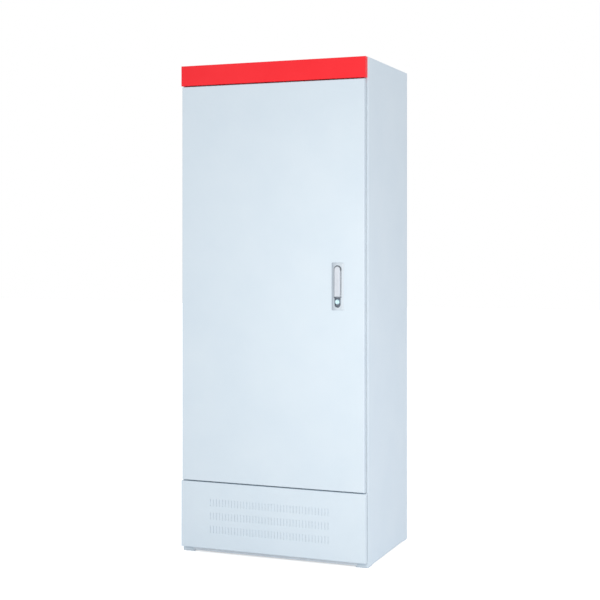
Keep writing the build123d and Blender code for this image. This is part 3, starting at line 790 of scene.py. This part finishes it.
@dataclass
class Finishes:
    """Every finish of the cabinet but that of the lock's body, built once.

    Attributes:
        paint: Cabinet and door.
        red: Header strip.
        casting: Lever.
        base: Base tray, in a tone paler than the paint as painted light against the shade under the plinth.
        foot: Foot plates.
        zinc: Plated steel and screws.
        galvanised: Mounting plate.
        chrome: Push button, chrome's own cool tint pushed to cyan as a painted reflection.
        plug: Key plug, tinted cyan-white as a painted reflection.
        brass: Earth bar and its screws.
        seal: Seal of the door.
        mat: Filter mat.
        pocket: Document pocket.
    """

    paint: bpy.types.Material = field(
        default_factory=PowderCoat("pale_blue_grey_powder_coat", "#D0DEEA", "#D4E1EC").build
    )
    red: bpy.types.Material = field(
        default_factory=PowderCoat("signal_red_powder_coat", "#F5222D", "#F92A34").build
    )
    casting: bpy.types.Material = field(
        default_factory=PowderCoat(
            "grey_lacquered_zinc_casting",
            "#C7CED9",
            "#CFD6E0",
            peel_size=1.2 * MM,
            peel_height=0.012 * MM,
            patch=20 * MM,
            roughness=0.36,
        ).build
    )
    # Painted light: the base tray's tone is paler than the cabinet's paint, to lift the shade under the
    # plinth's overhang.
    base: bpy.types.Material = field(
        default_factory=PowderCoat("base_tray_paint_lightened_as_painted_light", "#E6EFF8", "#E9F1F9").build
    )
    foot: bpy.types.Material = field(
        default_factory=PowderCoat(
            "primed_steel_foot_plate",
            "#C6D1DC",
            "#CED8E2",
            peel_size=2.0 * MM,
            peel_height=0.02 * MM,
            patch=30 * MM,
            roughness=0.55,
        ).build
    )
    zinc: bpy.types.Material = field(default_factory=ZincPlate().build)
    galvanised: bpy.types.Material = field(default_factory=HotDipGalvanising().build)
    # Chrome has a cool tint of its own; the cyan beyond it is a painted reflection.
    chrome: bpy.types.Material = field(
        default_factory=TurnedMetal("polished_chrome_on_zinc_tinted_as_painted_reflection", "#C0DCE6", "#CFE8F0", roughness=0.12).build
    )
    # Painted reflection: the key plug is tinted cyan-white for the glint that it shows.
    plug: bpy.types.Material = field(
        default_factory=TurnedMetal("nickel_plated_brass_plug_tinted_as_painted_reflection", "#C6E4EC", "#D4EEF3", roughness=0.2).build
    )
    brass: bpy.types.Material = field(
        default_factory=TurnedMetal(
            "drawn_brass_bar", "#C9A35B", "#D9B774", mark_size=0.8 * MM, roughness=0.3
        ).build
    )
    seal: bpy.types.Material = field(default_factory=CellFoam().build)
    mat: bpy.types.Material = field(default_factory=FibreMat().build)
    pocket: bpy.types.Material = field(default_factory=MouldedPlastic().build)


def dress(nodes: Iterable[str], material: bpy.types.Material) -> None:
    """Gives frame nodes a finish.

    Args:
        nodes: Names of the nodes.
        material: Finish that all their faces take.
    """
    for name in nodes:
        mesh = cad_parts[name].data
        mesh.materials.clear()
        mesh.materials.append(material)
        log.info("dressed %s with %s", name, material.name)


def finish_piece(
    name: str,
    mesh: bmesh.types.BMesh,
    material: bpy.types.Material,
    body: Body,
    replaced: str,
) -> None:
    """Turns a bmesh into a piece that rides on a body.

    Args:
        name: Name of the piece.
        mesh: Shape in the frame's place; it is freed here.
        material: Finish of the piece.
        body: Body that the piece moves with.
        replaced: Frame node that the piece stands for.
    """
    bmesh.ops.remove_doubles(mesh, verts=mesh.verts, dist=WELD)
    bmesh.ops.recalc_face_normals(mesh, faces=mesh.faces)
    data = bpy.data.meshes.new(name)
    mesh.to_mesh(data)
    mesh.free()
    data.materials.append(material)
    data.shade_smooth()
    data.set_sharp_from_angle(angle=SMOOTH_ANGLE)
    piece = bpy.data.objects.new(name, data)
    bpy.context.scene.collection.objects.link(piece)
    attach(piece, body.value)
    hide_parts(replaced)
    log.info("made %s with %d faces on %s", name, len(data.polygons), body.value)


def centre(node: str) -> Vector:
    """Gives the middle of a frame node's box."""
    low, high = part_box(node)
    return (low + high) / 2


def shells(node: str) -> list[tuple[Vector, Vector]]:
    """Boxes of the separate solids of a frame node.

    Args:
        node: Name of the node.

    Returns:
        Lowest and highest corner of each solid, ordered by X and Z.
    """
    copy = bmesh.new()
    copy.from_mesh(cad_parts[node].data)
    bmesh.ops.remove_doubles(copy, verts=copy.verts, dist=WELD)
    left = set(copy.verts)
    boxes: list[tuple[Vector, Vector]] = []
    while left:
        reach = [left.pop()]
        points = [reach[0].co.copy()]
        while reach:
            vertex = reach.pop()
            for edge in vertex.link_edges:
                other = edge.other_vert(vertex)
                if other in left:
                    left.remove(other)
                    reach.append(other)
                    points.append(other.co.copy())
        low = Vector([min(p[i] for p in points) for i in range(3)])
        high = Vector([max(p[i] for p in points) for i in range(3)])
        boxes.append((low, high))
    copy.free()
    return sorted(boxes, key=lambda b: (round(b[0].x, 4), b[0].z))


def joined(meshes: Iterable[bmesh.types.BMesh]) -> bmesh.types.BMesh:
    """Puts several bmeshes in one and frees them.

    Args:
        meshes: Shapes in their places.

    Returns:
        One bmesh with all of them.
    """
    whole = bmesh.new()
    for mesh in meshes:
        data = bpy.data.meshes.new("part_of_piece")
        mesh.to_mesh(data)
        mesh.free()
        whole.from_mesh(data)
        bpy.data.meshes.remove(data)
    return whole


def bevelled(mesh: bmesh.types.BMesh, edges: Sequence[bmesh.types.BMEdge], width: float, steps: int) -> None:
    """Rounds edges of a bmesh.

    Args:
        mesh: Shape that is changed.
        edges: Edges to round.
        width: Width of the round in metres.
        steps: Segments across it.
    """
    bmesh.ops.bevel(
        mesh,
        geom=list(edges),
        offset=width,
        segments=steps,
        profile=0.5,
        affect="EDGES",
        clamp_overlap=True,
        material=-1,
    )


@dataclass(frozen=True)
class ScrewHead:
    """Round head of a screw, raised from a disc, crowned and then sunk with its drive.

    Attributes:
        radius: Outer radius of the head.
        height: How far it stands out.
        drive: Shape of the recess.
        segments: Corners of the round head.
        crown: Share of the height that is rounded.
        crown_steps: Segments across the round.
        land: Share of the radius between the round and the recess.
        tip: Share of the radius that a slot reaches out to.
        waist: Share of the radius that the recess has between slots.
        depth: Share of the height that the recess goes down.
        draft: Share of the radius by which its walls lean in.
        sharpness: Power that makes the slots narrow.
    """

    radius: float
    height: float
    drive: Drive
    segments: int = 36
    crown: float = 0.55
    crown_steps: int = 3
    land: float = 0.12
    tip: float = 0.36
    waist: float = 0.11
    depth: float = 0.45
    draft: float = 0.02
    sharpness: int = 3

    def build(self, seat: Vector, outwards: Vector, turn: float) -> bmesh.types.BMesh:
        """Builds the head on its seat.

        Args:
            seat: Middle of the face that the head sits on.
            outwards: Direction in which the head stands out.
            turn: Angle of its recess in radians.

        Returns:
            Closed bmesh.
        """
        mesh = bmesh.new()
        bmesh.ops.create_circle(mesh, cap_ends=True, segments=self.segments, radius=self.radius)
        top = bmesh.ops.extrude_face_region(mesh, geom=mesh.faces[:])
        raised = [v for v in top["geom"] if isinstance(v, bmesh.types.BMVert)]
        bmesh.ops.translate(mesh, verts=raised, vec=(0, 0, self.height))
        rim = [e for e in mesh.edges if all(abs(v.co.z - self.height) < SAME_LEVEL for v in e.verts)]
        bevelled(mesh, rim, self.height * self.crown, self.crown_steps)
        self.cut_drive(mesh)
        turned = Matrix.Rotation(turn, 4, "Z")
        aim = Vector((0, 0, 1)).rotation_difference(outwards).to_matrix().to_4x4()
        bmesh.ops.transform(mesh, matrix=Matrix.Translation(seat) @ aim @ turned, verts=mesh.verts)
        return mesh

    def cut_drive(self, mesh: bmesh.types.BMesh) -> None:
        """Sinks the drive into the flat top by insetting and pushing its face down.

        Args:
            mesh: Head that is changed, with its flat top at the height.
        """
        top = max(mesh.faces, key=lambda f: (f.calc_center_median().z, f.calc_area()))
        bmesh.ops.inset_individual(
            mesh, faces=[top], thickness=self.radius * self.land, use_even_offset=True
        )
        tip = self.radius * self.tip
        waist = self.radius * self.waist
        for vertex in top.verts:
            angle = math.atan2(vertex.co.y, vertex.co.x)
            wave = abs(math.cos(self.drive.value * angle)) ** self.sharpness
            reach = waist + (tip - waist) * wave
            vertex.co.x = math.cos(angle) * reach
            vertex.co.y = math.sin(angle) * reach
        bmesh.ops.inset_individual(
            mesh,
            faces=[top],
            thickness=self.radius * self.draft,
            depth=-self.height * self.depth,
        )


PAN_HEAD = ScrewHead(3.5 * MM, 1.8 * MM, Drive.CROSS)
TERMINAL_HEAD = ScrewHead(4.8 * MM, 3.0 * MM, Drive.SLOT)


@dataclass
class ScrewRow:
    """All the heads of one fastener node, drawn in place of the plain ones.

    Attributes:
        node: Frame node with the plain heads.
        head: Shape of a head.
        outwards: Direction in which the heads stand out.
        slot: Material slot of the record; it is not used.
        first_turn: Angle of the first head's recess, in radians.
        turn_step: How much further each next head is turned, so that no two look alike.
    """

    node: str
    head: ScrewHead
    outwards: Vector
    slot: Slot = Slot.ZINC
    first_turn: float = 0.35
    turn_step: float = 1.1

    def build(self, material: bpy.types.Material, body: Body) -> None:
        """Builds the heads as one piece.

        Args:
            material: Finish of the heads.
            body: Body that they move with.
        """
        heads = []
        for index, (low, high) in enumerate(shells(self.node)):
            middle = (low + high) / 2
            reach = (high - low) / 2
            along = sum(abs(self.outwards[i]) * reach[i] for i in range(3))
            seat = middle + self.outwards * (along - self.head.height)
            heads.append(self.head.build(seat, self.outwards, self.first_turn + self.turn_step * index))
        finish_piece(f"{self.node}_heads", joined(heads), material, body, self.node)


@dataclass
class Enclosure:
    """Side walls, roof, back, rails and base of the cabinet.

    Attributes:
        painted: Nodes in the cabinet's own colour.
        feet: Nodes of the foot plates.
        back_screw: Head of the back panel's screws.
    """

    painted: tuple[str, ...] = (
        "left_side_panel", "right_side_panel", "back_panel", "roof_panel",
        "top_rail", "sill_rail",
    )
    feet: tuple[str, ...] = (
        "foot_plate_front_left", "foot_plate_front_right", "foot_plate_back_left", "foot_plate_back_right",
    )
    back_screw: ScrewHead = PAN_HEAD

    def build(self, finishes: Finishes) -> None:
        """Dresses the sheet metal and draws its outer screws.

        Args:
            finishes: Finishes of the cabinet.
        """
        dress(self.painted, finishes.paint)
        # The base tray's paler tone is painted light against the shade under the plinth.
        dress(("base_tray",), finishes.base)
        dress(self.feet, finishes.foot)
        dress(("gland_plate", "gland_plate_screws"), finishes.zinc)
        ScrewRow("back_panel_screws", self.back_screw, BACK).build(finishes.zinc, Body.CABINET)


@dataclass
class FrontSkins:
    """Header strip and plinth panel, with the filter mat behind its slots.

    Attributes:
        mat_grid: Distance between the cuts up the mat.
        mat_loft: Mean depth by which the mat's back sinks in.
        wave_across: Wave of the back across the mat, in radians per metre.
        wave_up: Wave of the back up the mat, in radians per metre.
        wave_slant: How far that second wave leans, in radians per metre.
    """

    mat_grid: float = 8.0 * MM
    mat_loft: float = 0.5 * MM
    wave_across: float = 310.0
    wave_up: float = 270.0
    wave_slant: float = 90.0

    def build(self, finishes: Finishes) -> None:
        """Dresses the skins and builds the mat.

        Args:
            finishes: Finishes of the cabinet.
        """
        dress(("header_strip",), finishes.red)
        dress(("plinth_panel",), finishes.paint)
        dress(("header_screws", "plinth_screws"), finishes.zinc)
        self.build_mat(finishes.mat)

    def build_mat(self, fibre: bpy.types.Material) -> None:
        """Builds the filter mat as a soft pad with an uneven back.

        Args:
            fibre: Finish of the mat.
        """
        low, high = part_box("vent_filter")
        size = high - low
        mesh = bmesh.new()
        bmesh.ops.create_cube(mesh, size=1.0)
        bmesh.ops.scale(mesh, vec=size, verts=mesh.verts)
        bmesh.ops.translate(mesh, vec=(low + high) / 2, verts=mesh.verts)
        upright = [e for e in mesh.edges if abs((e.verts[0].co - e.verts[1].co).y) < SAME_LEVEL]
        cuts = int(size.z / self.mat_grid)
        bmesh.ops.subdivide_edges(mesh, edges=upright, cuts=cuts, use_grid_fill=True)
        for vertex in mesh.verts:
            if vertex.co.y > high.y - SAME_LEVEL:
                up = vertex.co.z * self.wave_up + vertex.co.x * self.wave_slant
                wave = math.sin(vertex.co.x * self.wave_across) * math.sin(up)
                vertex.co.y -= self.mat_loft * (1 + wave)
        finish_piece("filter_mat", mesh, fibre, Body.CABINET, "vent_filter")


@dataclass
class InnerFrame:
    """Posts, beams, mounting plate, earth bar and cable rail.

    Attributes:
        plated: Nodes of plated steel.
        terminal: Head of the earth bar's screws.
    """

    plated: tuple[str, ...] = (
        "post_front_left", "post_front_right", "post_back_left", "post_back_right",
        "cross_beam_lower", "cross_beam_upper", "cable_rail", "earth_bar_standoffs",
    )
    terminal: ScrewHead = TERMINAL_HEAD

    def build(self, finishes: Finishes) -> None:
        """Dresses the inner steel and draws the earth bar's screws.

        Args:
            finishes: Finishes of the cabinet.
        """
        dress(self.plated, finishes.zinc)
        dress(("mounting_plate",), finishes.galvanised)
        dress(("earth_bar",), finishes.brass)
        dress(("mounting_plate_screws",), finishes.zinc)
        ScrewRow("earth_bar_screws", self.terminal, FRONT, Slot.BRASS).build(finishes.brass, Body.CABINET)


@dataclass
class Hinges:
    """Three hinges with their brackets, leaves, pins and screws.

    Attributes:
        places: Names of the hinges' places.
        screw: Head of the bracket screws.
    """

    places: tuple[str, ...] = ("bottom", "middle", "top")
    screw: ScrewHead = PAN_HEAD

    def build(self, finishes: Finishes) -> None:
        """Dresses the hinges and draws the bracket screws.

        Args:
            finishes: Finishes of the cabinet.
        """
        names = [f"hinge_{part}_{place}" for part in ("bracket", "leaf") for place in self.places]
        dress(names + ["hinge_pins"], finishes.zinc)
        ScrewRow("hinge_screws", self.screw, FRONT).build(finishes.zinc, Body.CABINET)


@dataclass
class Door:
    """Door skin with its seal, stiffeners, pocket and rod guides.

    Attributes:
        painted: Nodes in the cabinet's own colour.
        steel: Nodes of plated steel.
        seal_width: Width of the foam bead.
        seal_crown: How much of its height is rounded.
        seal_corner: Round of the bead's outer corners.
        crown_steps: Segments across the crown's round.
        corner_steps: Segments along a corner.
    """

    painted: tuple[str, ...] = ("door_panel", "door_stiffener_left", "door_stiffener_right")
    steel: tuple[str, ...] = (
        "upper_rod_guide", "lower_rod_guide", "upper_rod", "lower_rod", "door_earth_stud",
    )
    seal_width: float = 12 * MM
    seal_crown: float = 5 * MM
    seal_corner: float = 9 * MM
    crown_steps: int = 5
    corner_steps: int = 6

    def build(self, finishes: Finishes) -> None:
        """Dresses the door and builds its seal.

        Args:
            finishes: Finishes of the cabinet.
        """
        dress(self.painted, finishes.paint)
        dress(("document_pocket",), finishes.pocket)
        dress(self.steel, finishes.zinc)
        self.build_seal(finishes.seal)

    def build_seal(self, foam: bpy.types.Material) -> None:
        """Builds the foam bead as a crowned ring with rounded corners.

        Args:
            foam: Finish of the bead.
        """
        low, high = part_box("door_seal")
        size = high - low
        mesh = bmesh.new()
        bmesh.ops.create_grid(mesh, x_segments=1, y_segments=1, size=0.5)
        bmesh.ops.scale(mesh, vec=(size.x, size.z, 1), verts=mesh.verts)
        bmesh.ops.bevel(
            mesh,
            geom=mesh.verts[:],
            offset=self.seal_corner,
            segments=self.corner_steps,
            profile=0.5,
            affect="VERTICES",
            material=-1,
        )
        inner = mesh.faces[:]
        bmesh.ops.inset_region(
            mesh, faces=inner, thickness=self.seal_width, use_boundary=True, use_even_offset=True
        )
        bmesh.ops.delete(mesh, geom=inner, context="FACES")
        raised = bmesh.ops.extrude_face_region(mesh, geom=mesh.faces[:], use_keep_orig=True)
        top = [v for v in raised["geom"] if isinstance(v, bmesh.types.BMVert)]
        bmesh.ops.translate(mesh, verts=top, vec=(0, 0, size.y))
        crown = [e for e in mesh.edges if self.is_rim(e, size.y)]
        bevelled(mesh, crown, self.seal_crown, self.crown_steps)
        turn = Matrix.Rotation(-math.pi / 2, 4, "X")
        place = Matrix.Translation(Vector((low.x + size.x / 2, low.y, low.z + size.z / 2)))
        bmesh.ops.transform(mesh, matrix=place @ turn, verts=mesh.verts)
        finish_piece("foam_seal_bead", mesh, foam, Body.DOOR, "door_seal")

    @staticmethod
    def is_rim(edge: bmesh.types.BMEdge, height: float) -> bool:
        """Tells whether an edge runs along the inner or outer rim of the ring's top.

        Args:
            edge: Edge of the ring before it is turned upright.
            height: Level of the ring's top.

        Returns:
            True where the edge lies in the top and not all its faces do.
        """
        if any(abs(vertex.co.z - height) > SAME_LEVEL for vertex in edge.verts):
            return False
        flat = [face for face in edge.link_faces if abs(face.normal.z) > FLAT]
        return len(flat) < len(edge.link_faces)


@dataclass
class Lock:
    """Swing-handle lock: bezel, lever, push button, key plug and rod drive.

    Attributes:
        steel: Nodes of plated steel.
        mouth_half: Half the width of the bezel's tub round the lever.
        well_half: Half its width round the button.
        well_drop: From the button's axis down to the tub's lower end.
        shoulder_drop: From the lever's lower end down to where the tub narrows.
        clamp_screw: Head of the clamp's screws.
    """

    steel: tuple[str, ...] = (
        "lock_clamp", "handle_spindle", "rod_cam", "cam_screw", "lever_pin", "button_spring",
    )
    mouth_half: float = 12.25 * MM
    well_half: float = 9.25 * MM
    well_drop: float = 17.25 * MM
    shoulder_drop: float = 3.0 * MM
    clamp_screw: ScrewHead = PAN_HEAD

    def build(self, finishes: Finishes) -> None:
        """Dresses the lock and draws its screws.

        Args:
            finishes: Finishes of the cabinet.
        """
        hub = centre("handle_spindle")
        lever_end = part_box("handle_lever")[0].z
        casting = LockCasting(
            centre_x=hub.x,
            top=hub.z,
            bottom=centre("lock_button").z - self.well_drop + self.well_half,
            shoulder=lever_end - self.shoulder_drop,
            mouth_half=self.mouth_half,
            well_half=self.well_half,
        )
        # The bezel's finish carries painted shade on its hinge side and painted light and shade in its tub.
        dress(("lock_bezel",), casting.build())
        dress(("handle_lever",), finishes.casting)
        # The push button's cyan tint is partly chrome's own and partly a painted reflection.
        dress(("lock_button",), finishes.chrome)
        # The key plug's cyan-white tint is a painted reflection.
        dress(("key_plug",), finishes.plug)
        dress(self.steel, finishes.zinc)
        ScrewRow("lock_clamp_screws", self.clamp_screw, BACK).build(finishes.zinc, Body.DOOR)


def seen_by(tree: bpy.types.NodeTree, rays: Sequence[str]) -> bpy.types.NodeSocket:
    """Tells some kinds of rays from the others.

    Args:
        tree: Node tree of the floor or the world.
        rays: Names of the kinds, as Light Path has them.

    Returns:
        Value socket that is 1 for a ray of one of these kinds and 0 for the others.
    """
    path = add_node(tree, "ShaderNodeLightPath")
    seen = path.outputs[rays[0]]
    for ray in rays[1:]:
        either = add_node(
            tree, "ShaderNodeMath", {"operation": "MAXIMUM"}, links={0: seen, 1: path.outputs[ray]}
        )
        seen = either.outputs["Value"]
    return seen


@dataclass(frozen=True)
class SoftBox:
    """Soft rectangular lamp that the camera doesn't see.

    Attributes:
        name: Name of the lamp.
        place: Where it stands.
        size: Its width and height.
        power: Its power in watts.
        tint: Colour of its light.
        target: Point that it is aimed at, near the cabinet's middle.
    """

    name: str
    place: tuple[float, float, float]
    size: tuple[float, float]
    power: float
    tint: str
    target: tuple[float, float, float] = (0.0, 0.0, 0.8)

    def build(self) -> None:
        """Puts the lamp in the scene."""
        data = bpy.data.lights.new(self.name, "AREA")
        data.shape = "RECTANGLE"
        data.size, data.size_y = self.size
        data.energy = self.power
        data.color = linear(self.tint)[:3]
        lamp = bpy.data.objects.new(self.name, data)
        lamp.location = self.place
        aim = Vector(self.target) - Vector(self.place)
        lamp.rotation_euler = aim.to_track_quat("-Z", "Y").to_euler()
        lamp.visible_camera = False
        bpy.context.scene.collection.objects.link(lamp)


@dataclass
class Studio:
    """Floor, lamps, world and camera.

    Attributes:
        camera_place: Where the camera stands, from the fit to the photograph.
        camera_turn: Its turn to the left about the vertical, in radians.
        focal_pixels: Focal length in pixels of a frame 600 pixels wide.
        shift_pixels: How far the horizon lies above the frame's middle.
        frame_pixels: Width of the frame.
        sensor: Width of the camera's sensor in millimetres.
        far_clip: How far the camera sees.
        floor_reach: Half the width of the floor.
        floor_tone: Colour of the floor.
        floor_lift: Strength that whitens the floor to the camera and in reflections.
        world_level: Strength of the surround as a light.
        lamps: A soft box in front, for the key light, and a faint cool one at the right.
    """

    camera_place: tuple[float, float, float] = (1.4662, -3.6902, 0.9557)
    camera_turn: float = 0.376
    focal_pixels: float = 1254.24
    shift_pixels: float = 57.59
    frame_pixels: float = 600.0
    sensor: float = 36.0
    far_clip: float = 100.0
    floor_reach: float = 14.0
    floor_tone: str = "#F2F3F4"
    floor_lift: float = 0.55
    world_level: float = 0.82
    lamps: tuple[SoftBox, ...] = (
        SoftBox("key_softbox", (0.7, -1.5, 0.8), (0.6, 0.6), 8.0, "#FFF8EE"),
        SoftBox("side_fill", (1.4, -0.2, 0.3), (0.7, 0.7), 1.0, "#DDE8FF"),
    )

    def build(self) -> None:
        """Builds the floor, the surround, the lamps and the camera."""
        self.build_floor()
        self.build_world()
        for lamp in self.lamps:
            lamp.build()
        self.build_camera()

    def build_floor(self) -> None:
        """Lays a pale floor that stays white to the camera and keeps the shadow."""
        mesh = bmesh.new()
        bmesh.ops.create_grid(mesh, x_segments=1, y_segments=1, size=self.floor_reach)
        data = bpy.data.meshes.new("studio_floor")
        mesh.to_mesh(data)
        mesh.free()
        material, tree = new_material("white_studio_floor")
        lift = add_node(
            tree,
            "ShaderNodeMath",
            settings={"operation": "MULTIPLY"},
            inputs={1: self.floor_lift},
            links={0: seen_by(tree, ("Is Camera Ray", "Is Glossy Ray"))},
        )
        shader = add_node(
            tree,
            "ShaderNodeBsdfPrincipled",
            inputs={
                "Base Color": linear(self.floor_tone),
                "Roughness": 0.9,
                "Emission Color": (1, 1, 1, 1),
            },
            links={"Emission Strength": lift.outputs["Value"]},
        )
        add_node(tree, "ShaderNodeOutputMaterial", links={"Surface": shader.outputs["BSDF"]})
        data.materials.append(material)
        floor = bpy.data.objects.new("studio_floor", data)
        bpy.context.scene.collection.objects.link(floor)

    def build_world(self) -> None:
        """Sets an even pale surround that is white where the camera sees it."""
        world = bpy.data.worlds.new("studio_surround")
        world.use_nodes = True
        tree = world.node_tree
        tree.nodes.clear()
        level = add_node(
            tree,
            "ShaderNodeMapRange",
            inputs={"To Min": self.world_level, "To Max": 1.0},
            links={"Value": seen_by(tree, ("Is Camera Ray", "Is Glossy Ray", "Is Transmission Ray"))},
        )
        surround = add_node(
            tree,
            "ShaderNodeBackground",
            inputs={"Color": (1, 1, 1, 1)},
            links={"Strength": level.outputs["Result"]},
        )
        add_node(tree, "ShaderNodeOutputWorld", links={"Surface": surround.outputs["Background"]})
        bpy.context.scene.world = world

    def build_camera(self) -> None:
        """Stands the camera where the photograph was taken from."""
        data = bpy.data.cameras.new("photo_camera")
        data.sensor_fit = "HORIZONTAL"
        data.sensor_width = self.sensor
        data.lens = self.focal_pixels / self.frame_pixels * self.sensor
        data.shift_y = -self.shift_pixels / self.frame_pixels
        data.clip_end = self.far_clip
        camera = bpy.data.objects.new("photo_camera", data)
        camera.location = self.camera_place
        camera.rotation_euler = (math.pi / 2, 0.0, self.camera_turn)
        bpy.context.scene.collection.objects.link(camera)
        bpy.context.scene.camera = camera
        bpy.context.scene.view_settings.view_transform = "Standard"


def main() -> None:
    """Builds the whole scene in order."""
    logging.basicConfig(level=logging.INFO, format="%(name)s: %(message)s")
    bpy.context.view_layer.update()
    finishes = Finishes()
    parts = (Enclosure(), FrontSkins(), InnerFrame(), Hinges(), Door(), Lock())
    for part in parts:
        part.build(finishes)
        log.info("finished %s", type(part).__name__)
    Studio().build()


if __name__ == "__main__":
    main()
